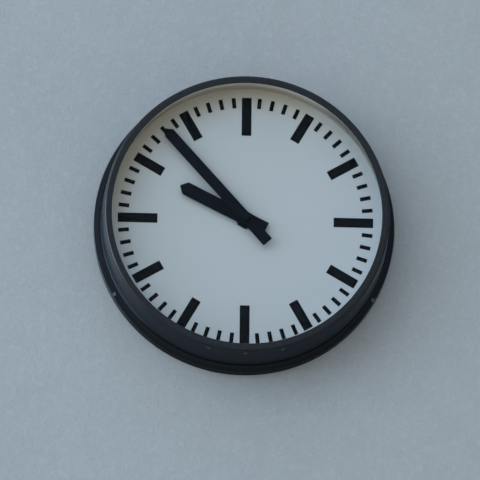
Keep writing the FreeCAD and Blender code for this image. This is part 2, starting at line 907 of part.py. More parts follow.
def make_reverser_arbor():
    """The motion work's side arbor; its tail carries the setting knob behind the cover."""
    low = "(hour_level - level_gap)"
    solid = rod("arbor_radius", "knob_back", "cavity_front - seat_gap", REVERSER_AT)
    solid = solid.fuse(
        rod("pivot_radius", "cavity_front - seat_gap", "cavity_front + pivot_length", REVERSER_AT)
    )
    pinion = gear_solid(
        "reverser_pinion_teeth",
        "motion_module",
        low,
        "cavity_front - seat_gap",
        REVERSER_AT,
        UP + half_gap("reverser_pinion_teeth"),
    )
    add_shape("reverser_arbor", solid.fuse(pinion))


def make_hour_tube():
    """The tube that carries the hour hand, running on the minute arbor inside the bushing."""
    body = ring(
        "hour_tube",
        "minute_arbor_radius + run_gap",
        "tube_radius",
        "hour_level - level_gap",
        "hour_hand_level + neck_height",
    )
    finish(body)


def make_setting_knob():
    """The notched knob behind the cover that turns the motion work by hand."""
    body = new_body("setting_knob")
    back, front = "knob_back", "knob_front"
    x, y = REVERSER_AT
    blank = new_sketch(body, TOP_ROLE, back)
    draw_circle(blank, "knob_radius")
    draw_circle(blank, "arbor_radius + fit_gap")
    pad(body, blank, "knob_height")
    notch = hole(body, "knob_notch_radius", back, front, "knob_radius", "0")
    around(body, [notch], "knob_notch_count")
    body.Placement = FRONT.multiply(Placement(Vector(value(x), value(y), 0), Rotation()))
    pieces.append(body)


def make_rotor():
    """The motor's round magnet and the shaft with its pinion."""
    top = "(rotor_level + rotor_height)"
    bore = rod("arbor_radius + fit_gap", "rotor_level", top, ROTOR_AT)
    add_shape("rotor_magnet", rod("rotor_radius", "rotor_level", top, ROTOR_AT).cut(bore))
    solid = rod("arbor_radius", "movement_back + level_gap", "cavity_front - level_gap", ROTOR_AT)
    for pivot in (
        rod("pivot_radius", "cover_back", "movement_back + level_gap", ROTOR_AT),
        rod("pivot_radius", "cavity_front - level_gap", "cavity_front + pivot_length", ROTOR_AT),
    ):
        solid = solid.fuse(pivot)
    low = "(third_level - level_gap)"
    pinion = gear_solid("rotor_pinion_teeth", "train_module", low, f"{low} + pinion_height", ROTOR_AT, DOWN)
    add_shape("rotor_shaft", solid.fuse(pinion))




def make_stator():
    """The laminated stator: a pole bar around the rotor and a core bar through the coil, closed at the ends."""
    body = new_body("stator_stack")
    sketch = new_sketch(body, TOP_ROLE, "stator_level")
    draw_box(
        sketch,
        "-stator_half_length",
        "pole_low",
        "stator_half_length",
        "core_high",
    )
    draw_box(
        sketch,
        "-stator_half_length + stator_leg",
        "pole_high",
        "stator_half_length - stator_leg",
        "core_low",
    )
    draw_circle(sketch, "rotor_radius + rotor_air_gap", *ROTOR_AT)
    pad(body, sketch, "stator_sheet")
    finish(body)


def coil_box(body, left, right, build):
    """A block around the stator's core, build thick on all four sides."""
    sketch = new_sketch(body, TOP_ROLE, f"stator_level - ({build})")
    draw_box(sketch, left, f"core_low - ({build})", right, f"core_high + {build}")
    return pad(body, sketch, f"stator_sheet + 2 * ({build})")


def coil_hole(body, left, right, build):
    sketch = new_sketch(body, TOP_ROLE, f"stator_level + stator_sheet + {build}")
    draw_box(sketch, left, f"core_low - ({build})", right, f"core_high + {build}")
    return pocket(body, sketch, f"stator_sheet + 2 * ({build})")


def make_coil():
    """The bobbin on the core and the winding between its flanges."""
    bobbin = new_body("coil_bobbin")
    flange_build = "bobbin_wall + winding_build"
    coil_box(bobbin, "bobbin_left", "bobbin_left + bobbin_flange", flange_build)
    coil_box(bobbin, "bobbin_left", "bobbin_right", "bobbin_wall")
    coil_box(bobbin, "bobbin_right - bobbin_flange", "bobbin_right", flange_build)
    coil_hole(bobbin, "bobbin_left", "bobbin_right", "fit_gap")
    finish(bobbin)
    winding = new_body("coil_winding")
    ends = "bobbin_left + bobbin_flange + fit_gap", "bobbin_right - bobbin_flange - fit_gap"
    coil_box(winding, *ends, flange_build)
    coil_hole(winding, *ends, "bobbin_wall + fit_gap")
    finish(winding)


def make_terminal_block():
    """The supply terminals on the pan, with two clamp screws and holes for the leads."""
    body = new_body("terminal_block")
    sketch = new_sketch(body, TOP_ROLE, "pan_sheet")
    draw_box(
        sketch,
        "-block_width / 2",
        "-block_drop - block_height / 2",
        "block_width / 2",
        "-block_drop + block_height / 2",
    )
    pad(body, sketch, "block_depth")
    top = "(pan_sheet + block_depth)"
    for side in ("-lead_spread", "lead_spread"):
        hole(body, "clamp_screw_radius + run_gap", f"{top} - clamp_screw_height", top, side, "-block_drop")
    finish(body)
    screws = new_body("clamp_screws")
    for side in ("-lead_spread", "lead_spread"):
        disc(screws, "clamp_screw_radius", f"{top} - clamp_screw_height + fit_gap", top, side, "-block_drop")
    finish(screws)


def make_coil_leads():
    """The two leads from the terminals, along the pan and up through the cover to the coil."""
    leads = []
    start = value("-block_drop + block_height / 2 + seat_gap")
    rise, bend = value("lead_rise"), value("lead_bend")
    level = value("core_middle")
    end = value("stator_level - bobbin_wall - winding_build - slide_gap")
    for x in (-value("lead_spread"), value("lead_spread")):
        corner = Vector(x, level - bend, rise + bend)
        slant = bend * math.sqrt(0.5)
        path = Part.Wire(
            [
                Part.LineSegment(Vector(x, start, rise), Vector(x, level - bend, rise)).toShape(),
                Part.Arc(
                    Vector(x, level - bend, rise),
                    corner + Vector(0, slant, -slant),
                    Vector(x, level, rise + bend),
                ).toShape(),
                Part.LineSegment(Vector(x, level, rise + bend), Vector(x, level, end)).toShape(),
            ]
        )
        section = Part.Wire(Part.Circle(Vector(x, start, rise), Vector(0, 1, 0), value("lead_radius")).toShape())
        leads.append(path.makePipeShell([section], True, False))
    piece = doc.addObject("Part::Feature", "coil_leads")
    piece.Label = "coil_leads"
    piece.Shape = Part.makeCompound(leads)
    finish(piece)


def make_cable_grommet():
    """The rubber grommet in the pan's cable hole."""
    body = new_body("cable_grommet")
    outside = "cable_hole_radius + grommet_flange"
    disc(body, "cable_hole_radius - fit_gap", "0", "pan_sheet", "0", "-cable_drop")
    disc(body, outside, "pan_sheet", "pan_sheet + grommet_lip", "0", "-cable_drop")
    hole(body, "grommet_bore", "0", "pan_sheet + grommet_lip", "0", "-cable_drop")
    finish(body)


HOURS_ON_DIAL = 12
HOUR_ANGLE = value("hour_hand_angle")
MINUTE_ANGLE = HOUR_ANGLE * HOURS_ON_DIAL % FULL_TURN

make_wall_pan()
make_front_bezel()
make_side_screws()
make_glass_seal()
make_cover_glass()
make_dial_surround()
make_dial_plate()
make_marks("quarter_marks", "quarter_mark_length", "hour_mark_width", [0], 4)
make_marks("hour_marks", "hour_mark_length", "hour_mark_width", [30, 60], 4)
make_marks("minute_marks", "minute_mark_length", "minute_mark_width", [6, 12, 18, 24], 12)
make_dial_pillars()
make_dial_screws()
make_hand(
    "hour_hand",
    "hour_hand_width",
    "hour_hand_tip",
    "hour_hand_point",
    "hour_hand_tail",
    "hour_hand_level",
    "hour_neck_radius + fit_gap",
    HOUR_ANGLE,
)
make_hand(
    "minute_hand",
    "minute_hand_width",
    "minute_hand_tip",
    "minute_hand_point",
    "minute_hand_tail",
    "minute_hand_level",
    "minute_neck_radius + fit_gap",
    MINUTE_ANGLE,
)
make_boss("hour_boss", "tube_radius + fit_gap", "hour_boss_radius", "hour_neck_radius", "hour_hand_level")
make_boss(
    "minute_boss",
    "minute_arbor_radius + fit_gap",
    "minute_boss_radius",
    "minute_neck_radius",
    "minute_hand_level",
)
make_hand_nut()
make_movement_frame()
make_movement_cover()
make_cover_screws()
finish(ring("movement_washer", "bushing_radius + seat_gap", "washer_radius", "movement_front", "dial_back"))
make_fixing_nut()
make_minute_arbor()
make_wheel(
    "minute_wheel", "minute_wheel_teeth", "train_module", "minute_level", AXIS_AT, RIGHT, "minute_arbor_radius + fit_gap"
)
make_third_arbor()
make_wheel(
    "third_wheel",
    "third_wheel_teeth",
    "train_module",
    "third_level",
    THIRD_AT,
    UP + half_gap("third_wheel_teeth"),
    "arbor_radius + fit_gap",
)
make_reverser_arbor()
make_wheel(
    "reverser_wheel",
    "reverser_wheel_teeth",
    "motion_module",
    "reverser_level",
    REVERSER_AT,
    UP + half_gap("reverser_wheel_teeth"),
    "arbor_radius + fit_gap",
)
make_wheel(
    "hour_wheel", "hour_wheel_teeth", "motion_module", "hour_level", AXIS_AT, DOWN, "tube_radius + fit_gap"
)
make_hour_tube()
make_setting_knob()
make_rotor()
make_stator()
make_coil()
make_terminal_block()
make_coil_leads()
make_cable_grommet()

doc.recompute()

for item in doc.Objects:
    if "Invalid" in item.State or "Error" in item.State:
        raise RuntimeError(f"{item.Label} failed: {item.State}")
for piece in pieces:
    if piece.Shape.isNull() or not piece.Shape.isValid():
        raise RuntimeError(f"{piece.Label} has no valid shape")

os.makedirs("parts", exist_ok=True)
for piece in pieces:
    piece.Shape.exportStep(f"parts/{piece.Label}.step")
    print(piece.Label, len(piece.Shape.Solids), round(piece.Shape.Volume, 1))
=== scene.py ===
"""Looks for a round station wall clock: a finish for every piece, and a stage with light and camera.

The file is laid out as a Blender add-on and is run as a script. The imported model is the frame: lengths are in
metres, the wall is the plane y = 0, the dial faces -Y and twelve o'clock is towards +Z.
"""

import math

import bmesh
import bpy
from bpy.props import FloatProperty, FloatVectorProperty, PointerProperty
from mathutils import Matrix, Quaternion, Vector


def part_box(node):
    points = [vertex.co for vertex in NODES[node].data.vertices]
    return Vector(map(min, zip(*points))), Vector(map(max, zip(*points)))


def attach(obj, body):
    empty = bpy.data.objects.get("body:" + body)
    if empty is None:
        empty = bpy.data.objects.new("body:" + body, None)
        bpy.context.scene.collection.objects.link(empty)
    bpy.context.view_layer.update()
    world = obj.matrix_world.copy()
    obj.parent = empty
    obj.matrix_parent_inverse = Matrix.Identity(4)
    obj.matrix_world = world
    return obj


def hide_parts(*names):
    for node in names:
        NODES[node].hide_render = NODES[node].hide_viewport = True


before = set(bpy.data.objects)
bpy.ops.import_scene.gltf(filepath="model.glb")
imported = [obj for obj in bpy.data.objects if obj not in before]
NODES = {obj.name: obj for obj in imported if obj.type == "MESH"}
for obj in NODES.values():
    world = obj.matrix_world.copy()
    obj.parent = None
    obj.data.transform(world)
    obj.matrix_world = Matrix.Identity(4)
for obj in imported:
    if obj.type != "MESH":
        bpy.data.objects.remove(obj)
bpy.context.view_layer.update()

bl_info = {
    "name": "Station clock looks",
    "version": (1, 0, 0),
    "blender": (4, 5, 0),
    "location": "3D View > Sidebar > Clock",
    "description": "Finishes and stage for a round station wall clock",
    "category": "Object",
}

# Edges that turn by more than the first angle are eased or shaded sharp, by less than the second are flat
SHARP_ANGLE = math.radians(40)
FLAT_ANGLE = math.radians(0.5)
# Points nearer to each other than this are one point
WELD = 0.000001
HAND_NODES = {
    "minute_work": ("minute_hand", "minute_boss", "hand_nut"),
    "hour_work": ("hour_hand", "hour_boss"),
}
# The drain holes: their distance from the wall, and the turn between them, the middle one at six o'clock
DRAIN_DEPTH = 0.083
DRAIN_STEP = math.radians(15)
EYELET_SIDES = 32
# The stage: the gap that keeps the wall's face off the clock's back, and the lengths of its sheets
WALL_GAP = 0.0008
WALL_LENGTH = 5.0
FLOOR_LENGTH = 24.0
# A pale bloom on black paint and print
PRINT_BLOOM = (0.2, 0.22, 0.23, 1.0)


def node_box(node):
    """A node's lowest and highest corners, in metres."""
    low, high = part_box(node)
    return Vector(low), Vector(high)


# Distances in front of the wall
DIAL_DEPTH = -node_box("dial_plate")[0].y
BEZEL_DEPTH = -node_box("front_bezel")[0].y
PAN_DEPTH = -node_box("wall_pan")[0].y
# The bezel's largest radius, how much narrower its front is, and the radius of the pan's mouth around it
BEZEL_RADIUS = node_box("front_bezel")[1].x
BEZEL_TAPER = 0.0036
BEZEL_SLOPE = BEZEL_TAPER / (BEZEL_DEPTH - PAN_DEPTH)
MOUTH_RADIUS = BEZEL_RADIUS + 0.001


class Value:
    """A shader socket that takes part in Python arithmetic. Each operation adds one Math node."""

    def __init__(self, finish, socket):
        self.finish = finish
        self.socket = socket

    def math(self, operation, *terms):
        sockets = {number: term for number, term in enumerate(terms)}
        return self.finish.node("ShaderNodeMath", {"operation": operation}, sockets)[0]

    def __add__(self, other):
        return self.math("ADD", self, other)

    def __radd__(self, other):
        return self.math("ADD", other, self)

    def __sub__(self, other):
        return self.math("SUBTRACT", self, other)

    def __rsub__(self, other):
        return self.math("SUBTRACT", other, self)

    def __mul__(self, other):
        return self.math("MULTIPLY", self, other)

    def __rmul__(self, other):
        return self.math("MULTIPLY", other, self)

    def __truediv__(self, other):
        return self.math("DIVIDE", self, other)

    def __pow__(self, other):
        return self.math("POWER", self, other)

    def __abs__(self):
        return self.math("ABSOLUTE", self)

    def larger(self, other):
        return self.math("MAXIMUM", self, other)

    def between(self, low, high):
        """0 up to low, 1 from high on, and a smooth step between them. High may be the smaller one."""
        if high < low:
            return 1 - self.between(high, low)
        settings = {"interpolation_type": "SMOOTHSTEP"}
        sockets = {"Value": self, "From Min": low, "From Max": high}
        return self.finish.node("ShaderNodeMapRange", settings, sockets)["Result"]


class Outputs:
    """A node's outputs, by name, identifier or number."""

    def __init__(self, finish, node):
        self.finish = finish
        self.node = node

    def __getitem__(self, key):
        return Value(self.finish, pick(self.node.outputs, key))


def pick(sockets, key):
    """A socket by number, identifier or name."""
    if isinstance(key, int):
        return sockets[key]
    for socket in sockets:
        if socket.identifier == key:
            return socket
    return sockets[key]


class Finish:
    """The node tree of a material or of the sky."""

    def __init__(self, owner):
        self.owner = owner
        owner.use_nodes = True
        self.tree = owner.node_tree
        self.tree.nodes.clear()
        self.place = self.node("ShaderNodeTexCoord")["Object"]

    @classmethod
    def named(cls, name):
        """A new material's node tree."""
        return cls(bpy.data.materials.new(name))

    def node(self, kind, settings=None, sockets=None):
        """Adds a node: its settings first, then the values or links of its sockets."""
        node = self.tree.nodes.new(kind)
        for name, setting in (settings or {}).items():
            setattr(node, name, setting)
        for key, term in (sockets or {}).items():
            socket = pick(node.inputs, key)
            if isinstance(term, Value):
                self.tree.links.new(term.socket, socket)
            else:
                socket.default_value = term
        return Outputs(self, node)

    def stretched(self, scale, turn=(0.0, 0.0, 0.0)):
        """The object's coordinates, scaled and turned."""
        sockets = {"Vector": self.place, "Scale": scale, "Rotation": turn}
        return self.node("ShaderNodeMapping", None, sockets)["Vector"]

    def axes(self):
        """The object's coordinates as three values."""
        parts = self.node("ShaderNodeSeparateXYZ", None, {"Vector": self.place})
        return parts["X"], parts["Y"], parts["Z"]

    def noise(self, scale, detail=3.0, roughness=0.55, place=None):
        """Soft patches between 0 and 1, finer with a larger scale."""
        sockets = {
            "Vector": place or self.place,
            "Scale": scale,
            "Detail": detail,
            "Roughness": roughness,
        }
        return self.node("ShaderNodeTexNoise", None, sockets)["Fac"]

    def cells(self, scale):
        """The distance from the middle of small cells."""
        sockets = {"Vector": self.place, "Scale": scale}
        return self.node("ShaderNodeTexVoronoi", {"feature": "F1"}, sockets)["Distance"]

    def mix(self, first, second, amount):
        """A colour between two colours."""
        sockets = {"Factor_Float": amount, "A_Color": first, "B_Color": second}
        return self.node("ShaderNodeMix", {"data_type": "RGBA"}, sockets)["Result_Color"]

    def bump(self, height, depth, strength=1.0):
        """A normal from a height between 0 and 1, depth metres high at full strength."""
        sockets = {"Height": height, "Distance": depth, "Strength": strength}
        return self.node("ShaderNodeBump", None, sockets)["Normal"]

    def surface(self, sockets):
        """A Principled surface."""
        return self.node("ShaderNodeBsdfPrincipled", None, sockets)["BSDF"]

    def show(self, shader, output="ShaderNodeOutputMaterial"):
        """Ends the tree with a shader and gives back what the tree belongs to."""
        self.node(output, None, {"Surface": shader})
        return self.owner


def opaque(colour):
    """A colour with full alpha."""
    return (*colour[:3], 1.0)


def shaded(colour, share):
    """A colour with its brightness multiplied."""
    return (*(part * share for part in colour[:3]), 1.0)


def case_paint(name, colours, sheen, polish):
    """Satin dark paint on pressed sheet, with dust, run-off, a rough underside with painted light and shade,
    and a scuffed back.

    On the left a rounded edge keeps some polish, and the foot of the side has a pale painted highlight. The
    right is chalky.
    """
    colour = colours.case
    finish = Finish.named(name)
    x, y, z = finish.axes()
    radius = (x * x + z * z) ** 0.5
    depth = -1.0 * y
    # Where the surface faces
    normal = finish.node("ShaderNodeNewGeometry")["Normal"]
    facing = finish.node("ShaderNodeSeparateXYZ", None, {"Vector": normal})
    upward = facing["Z"]
    endways = abs(facing["Y"])
    sideways = endways.between(0.8, 0.5)
    outward = (x * facing["X"] + z * facing["Z"]) / radius
    # The polish of the left, the painted highlight at the foot of its side, and the chalk of the right
    left = x.between(-0.12, -0.2) * polish
    rounded = outward.between(0.2, 0.45) * endways.between(0.1, 0.3)
    polished = rounded * left * z.between(0.13, 0.06) * 0.7
    chalked = x.between(0.02, 0.19)
    # Painted highlight: a pale bluish tone at the foot of the bezel's side, on the lit left only
    bloom_and_highlight = depth.between(0.046, 0.032) * sideways * left * 0.75
    cloud = finish.noise(9.0, detail=5.0)
    speck = finish.noise(420.0, detail=2.0)
    peel = finish.noise(700.0, detail=1.0, roughness=0.4)
    upright = finish.stretched((90.0, 90.0, 6.0))
    runs = finish.noise(1.0, detail=3.0, roughness=0.6, place=upright)
    # Dust that has settled, run down, or gathered on the lip and in the seam, and the scuffs of the back
    settled = upward.between(0.15, 0.9) * (0.11 + 0.09 * cloud.between(0.25, 0.75))
    streaks = runs.between(0.5, 0.75) * sideways * 0.05
    lip = depth.between(BEZEL_DEPTH - 0.0022, BEZEL_DEPTH - 0.0002) * speck.between(0.5, 0.66) * 0.05
    mouth = radius.between(MOUTH_RADIUS + 0.004, MOUTH_RADIUS)
    seam = depth.between(PAN_DEPTH - 0.0008, PAN_DEPTH - 0.0001) * mouth * 0.12
    slanted = finish.stretched((55.0, 1.0, 9.0), (0.0, 0.5, 0.0))
    scratches = finish.noise(1.0, detail=4.0, roughness=0.7, place=slanted)
    worn = 0.12 + 0.1 * cloud + 0.14 * scratches.between(0.5, 0.85)
    scuffs = depth.between(0.0012, 0.0002) * worn
    dusty = settled.larger(streaks).larger(lip).larger(seam * speck).larger(scuffs)
    tone = finish.mix(shaded(colour, 0.82), shaded(colour, 1.22), cloud)
    tone = finish.mix(tone, opaque(colours.dust), dusty)
    # The underside: rougher, painted lighter towards the front and painted shade towards the wall
    facing_down = upward.between(-0.3, -0.95)
    painted_light_and_shade = finish.mix(shaded(colour, 1.5), opaque(colours.underside_shade), depth.between(0.04, 0.024))
    tone = finish.mix(tone, painted_light_and_shade, facing_down * 0.8)
    # Paints the highlight at the foot of the bezel's left side
    tone = finish.mix(tone, opaque(colours.bloom_and_highlight), bloom_and_highlight)
    satin = 0.16 + 0.08 * finish.noise(26.0, detail=4.0)
    roughness = satin + 0.5 * settled + 0.4 * facing_down + 0.16 * chalked
    # A hard gloss at a glance, apart from the pan's foot
    grazing = finish.node("ShaderNodeLayerWeight", None, {"Blend": 0.5})["Facing"]
    glancing = grazing.between(0.8, 1.0) * depth.between(0.012, 0.024) * (1 - 0.8 * chalked)
    shader = finish.surface(
        {
            "Base Color": tone,
            "Roughness": roughness,
            "Specular IOR Level": 0.06,
            "Coat Weight": glancing.larger(polished),
            "Coat Roughness": 0.15,
            "Coat IOR": 1.7,
            "Sheen Weight": sheen,
            "Sheen Roughness": 0.2,
            "Sheen Tint": (0.28, 0.6, 1.0, 1.0),
            "Normal": finish.bump(peel * 0.7 + speck * 0.3, depth=0.00006, strength=0.5),
        }
    )
    return finish.show(shader)


def dial_paint(colour, warm_shade, dirt_and_shade):
    """Matt dial paint, with painted warm shade towards the upper left edge, and dust at its foot and along its
    edge.
    """
    finish = Finish.named("dial_paint")
    x, y, z = finish.axes()
    radius = (x * x + z * z) ** 0.5
    cloud = finish.noise(7.0, detail=4.0)
    grain = finish.noise(900.0, detail=2.0)
    lower = 0.35 + 0.65 * z.between(0.12, -0.2)
    edge = radius.between(0.176, 0.2) * lower * finish.noise(40.0, detail=4.0)
    foot = z.between(-0.1, -0.2) * cloud * 0.2
    # Painted warm shade and bounce light near the upper left rim
    dial_upper_shade = radius.between(0.15, 0.2) * towards_upper_left(x, z).between(0.02, 0.17) * (0.6 + 0.4 * cloud)
    tone = finish.mix(shaded(colour, 0.975), shaded(colour, 1.02), cloud)
    tone = finish.mix(tone, shaded(colour, 0.93), grain.between(0.62, 0.78) * 0.5)
    tone = finish.mix(tone, opaque(warm_shade), dial_upper_shade)
    tone = finish.mix(tone, opaque(dirt_and_shade), (edge * 0.5).larger(foot))
    shader = finish.surface(
        {
            "Base Color": tone,
            "Roughness": 0.46 + 0.16 * cloud,
            "Normal": finish.bump(grain, depth=0.00003, strength=0.35),
        }
    )
    return finish.show(shader)


def towards_upper_left(x, z):
    """How far a place lies towards the upper left, where dial and surround get painted warm shade."""
    return 0.9 * z - 0.5 * x


def surround_paint(colour, warm_shade, dirt_and_shade):
    """White paint on the ring between dial and glass.

    It has painted warm shade on the upper left, a painted shadow towards the dial above and painted shade on
    the upper right.
    """
    finish = Finish.named("surround_paint")
    x, y, z = finish.axes()
    depth = -1.0 * y
    cloud = finish.noise(14.0, detail=4.0)
    grain = finish.noise(600.0, detail=2.0)
    foot = depth.between(DIAL_DEPTH + 0.006, DIAL_DEPTH) * 0.4 * cloud
    # Painted warm shade on the upper left, where the ring faces down
    ring_upper_shade = towards_upper_left(x, z).between(0.02, 0.2)
    upper_right = (0.87 * x + 0.5 * z).between(0.165, 0.195)
    # Painted shade on the upper right, towards the front by the bezel's lip
    upper_right_shade = depth.between(0.05, 0.074) * upper_right * 0.9
    shadow = depth.between(0.074, 0.066) * z.between(0.02, 0.15) * (0.85 + 0.15 * cloud)
    tone = finish.mix(shaded(colour, 0.95), shaded(colour, 1.04), cloud)
    tone = finish.mix(tone, opaque(warm_shade), ring_upper_shade)
    tone = finish.mix(tone, shaded(warm_shade, 0.6), shadow)
    tone = finish.mix(tone, opaque(dirt_and_shade), foot)
    tone = finish.mix(tone, shaded(dirt_and_shade, 0.2), upper_right_shade)
    shader = finish.surface(
        {
            "Base Color": tone,
            "Roughness": 0.5 + 0.14 * cloud,
            "Normal": finish.bump(grain, depth=0.00003, strength=0.4),
        }
    )
    return finish.show(shader)


def black_print(name, colour, roughness, wear):
    """Dense black screen print or paint, with a faint pale bloom."""
    finish = Finish.named(name)
    cloud = finish.noise(30.0, detail=4.0)
    grain = finish.noise(1100.0, detail=2.0)
    bloom_and_highlight = finish.noise(160.0, detail=3.0).between(0.55, 0.8) * wear
    tone = finish.mix(shaded(colour, 0.8), shaded(colour, 1.25), cloud)
    tone = finish.mix(tone, PRINT_BLOOM, bloom_and_highlight)
    shader = finish.surface(
        {
            "Base Color": tone,
            "Roughness": roughness + 0.12 * cloud,
            "Specular IOR Level": 0.05,
            "Normal": finish.bump(grain, depth=0.00002, strength=0.3),
        }
    )
    return finish.show(shader)


def clear_glass(colour):
    """Flat float glass that lets lamp light through to the dial."""
    finish = Finish.named("clear_glass")
    wiped = finish.stretched((1.0, 1.0, 0.35))
    smear = finish.noise(6.0, detail=5.0, roughness=0.6, place=wiped)
    glass = finish.surface(
        {
            "Base Color": opaque(colour),
            "Roughness": 0.0,
            "IOR": 1.09,
            "Transmission Weight": 1.0,
            "Normal": finish.bump(smear, depth=0.0001, strength=0.05),
        }
    )
    path = finish.node("ShaderNodeLightPath")
    passing = path["Is Shadow Ray"].larger(path["Is Diffuse Ray"])
    clear = finish.node("ShaderNodeBsdfTransparent", None, {"Color": opaque(colour)})["BSDF"]
    mixed = finish.node("ShaderNodeMixShader", None, {0: passing, 1: glass, 2: clear})
    return finish.show(mixed["Shader"])


def soft_rubber(name, colour, roughness):
    """Rubber or silicone with a dusty skin."""
    finish = Finish.named(name)
    cloud = finish.noise(60.0, detail=4.0)
    grain = finish.noise(900.0, detail=3.0)
    tone = finish.mix(shaded(colour, 0.86), shaded(colour, 1.1), cloud)
    shader = finish.surface(
        {
            "Base Color": tone,
            "Roughness": roughness + 0.15 * cloud,
            "Normal": finish.bump(grain, depth=0.00005, strength=0.5),
        }
    )
    return finish.show(shader)


def turned_metal(name, colour, roughness, grooves):
    """Machined metal with fine tool marks and a little tarnish."""
    finish = Finish.named(name)
    cloud = finish.noise(120.0, detail=4.0)
    turned = finish.stretched((grooves, 9000.0, grooves))
    lines = finish.noise(1.0, detail=2.0, roughness=0.6, place=turned)
    tone = finish.mix(shaded(colour, 0.72), shaded(colour, 1.08), cloud)
    shader = finish.surface(
        {
            "Base Color": tone,
            "Metallic": 1.0,
            "Roughness": roughness + 0.2 * cloud * lines,
            "Normal": finish.bump(lines, depth=0.00002, strength=0.4),
        }
    )
    return finish.show(shader)


def moulded_plastic(name, colour, roughness):
    """Injection-moulded plastic with a fine spark-eroded texture."""
    finish = Finish.named(name)
    cloud = finish.noise(35.0, detail=3.0)
    grain = finish.cells(1600.0)
    tone = finish.mix(shaded(colour, 0.9), shaded(colour, 1.1), cloud)
    shader = finish.surface(
        {
            "Base Color": tone,
            "Roughness": roughness + 0.12 * cloud,
            "Normal": finish.bump(grain, depth=0.00004, strength=0.5),
        }
    )
    return finish.show(shader)


def wound_copper(colour):
    """Layers of fine enamelled wire around the bobbin."""
    finish = Finish.named("wound_copper")
    wires = finish.node(
        "ShaderNodeTexWave",
        {"wave_type": "BANDS", "bands_direction": "X", "wave_profile": "SIN"},
        {"Vector": finish.place, "Scale": 800.0, "Distortion": 0.4, "Detail": 1.0},
    )["Fac"]
    cloud = finish.noise(150.0, detail=3.0)
    tone = finish.mix(shaded(colour, 0.45), shaded(colour, 1.1), wires)
    shader = finish.surface(
        {
            "Base Color": finish.mix(tone, shaded(colour, 0.6), cloud * 0.4),
            "Metallic": 0.85,
            "Roughness": 0.3 + 0.15 * cloud,
            "Normal": finish.bump(wires, depth=0.0001, strength=0.8),
        }
    )
    return finish.show(shader)


def stacked_sheets(colour):
    """Electrical steel laminations, seen as lines on their edges."""
    finish = Finish.named("stacked_sheets")
    sheets = finish.node(
        "ShaderNodeTexWave",
        {"wave_type": "BANDS", "bands_direction": "Y", "wave_profile": "SAW"},
        {"Vector": finish.place, "Scale": 500.0},
    )["Fac"]
    cloud = finish.noise(90.0, detail=4.0)
    tone = finish.mix(shaded(colour, 0.7), shaded(colour, 1.15), cloud)
    shader = finish.surface(
        {
            "Base Color": tone,
            "Metallic": 0.9,
            "Roughness": 0.4 + 0.2 * cloud,
            "Normal": finish.bump(sheets, depth=0.00005, strength=0.6),
        }
    )
    return finish.show(shader)


def one_sided(finish, shader):
    """A stage surface that can be seen through from behind."""
    behind = finish.node("ShaderNodeNewGeometry")["Backfacing"]
    clear = finish.node("ShaderNodeBsdfTransparent")["BSDF"]
    mixed = finish.node("ShaderNodeMixShader", None, {0: behind, 1: shader, 2: clear})
    return finish.show(mixed["Shader"])


def wall_plaster(colour):
    """Painted plaster with a fine grain and slow changes of tone."""
    finish = Finish.named("wall_plaster")
    cloud = finish.noise(3.5, detail=4.0)
    patch = finish.noise(26.0, detail=4.0)
    mottle = finish.noise(95.0, detail=4.0, roughness=0.6)
    grain = finish.noise(260.0, detail=4.0, roughness=0.6)
    tone = finish.mix(shaded(colour, 0.87), shaded(colour, 1.11), cloud * 0.5 + patch * 0.5)
    tone = finish.mix(tone, shaded(colour, 1.2), (mottle - 0.5) * 2.0)
    tone = finish.mix(tone, shaded(colour, 0.9), grain.between(0.5, 0.75))
    shader = finish.surface(
        {
            "Base Color": tone,
            "Roughness": 0.9,
            "Normal": finish.bump(grain * 0.5 + mottle * 0.5, depth=0.0016, strength=0.5),
        }
    )
    return one_sided(finish, shader)


def floor_stone(colour):
    """A plain pale floor."""
    finish = Finish.named("floor_stone")
    cloud = finish.noise(1.5, detail=4.0)
    tone = finish.mix(shaded(colour, 0.96), shaded(colour, 1.03), cloud)
    shader = finish.surface({"Base Color": tone, "Roughness": 0.7 + 0.1 * cloud})
    return one_sided(finish, shader)


def colour_property(name, description, default):
    """A colour in linear light."""
    return FloatVectorProperty(
        name=name,
        description=description,
        default=default,
        subtype="COLOR",
        min=0,
        max=1,
    )


def length_property(name, description, default):
    """A small length in metres."""
    return FloatProperty(
        name=name,
        description=description,
        default=default,
        min=0,
        unit="LENGTH",
        precision=5,
    )


def power_property(name, description, default):
    """A lamp's power in watts."""
    return FloatProperty(name=name, description=description, default=default, min=0, subtype="POWER")


def angle_property(name, description, degrees):
    """An angle, given in degrees."""
    return FloatProperty(name=name, description=description, default=math.radians(degrees), subtype="ANGLE")


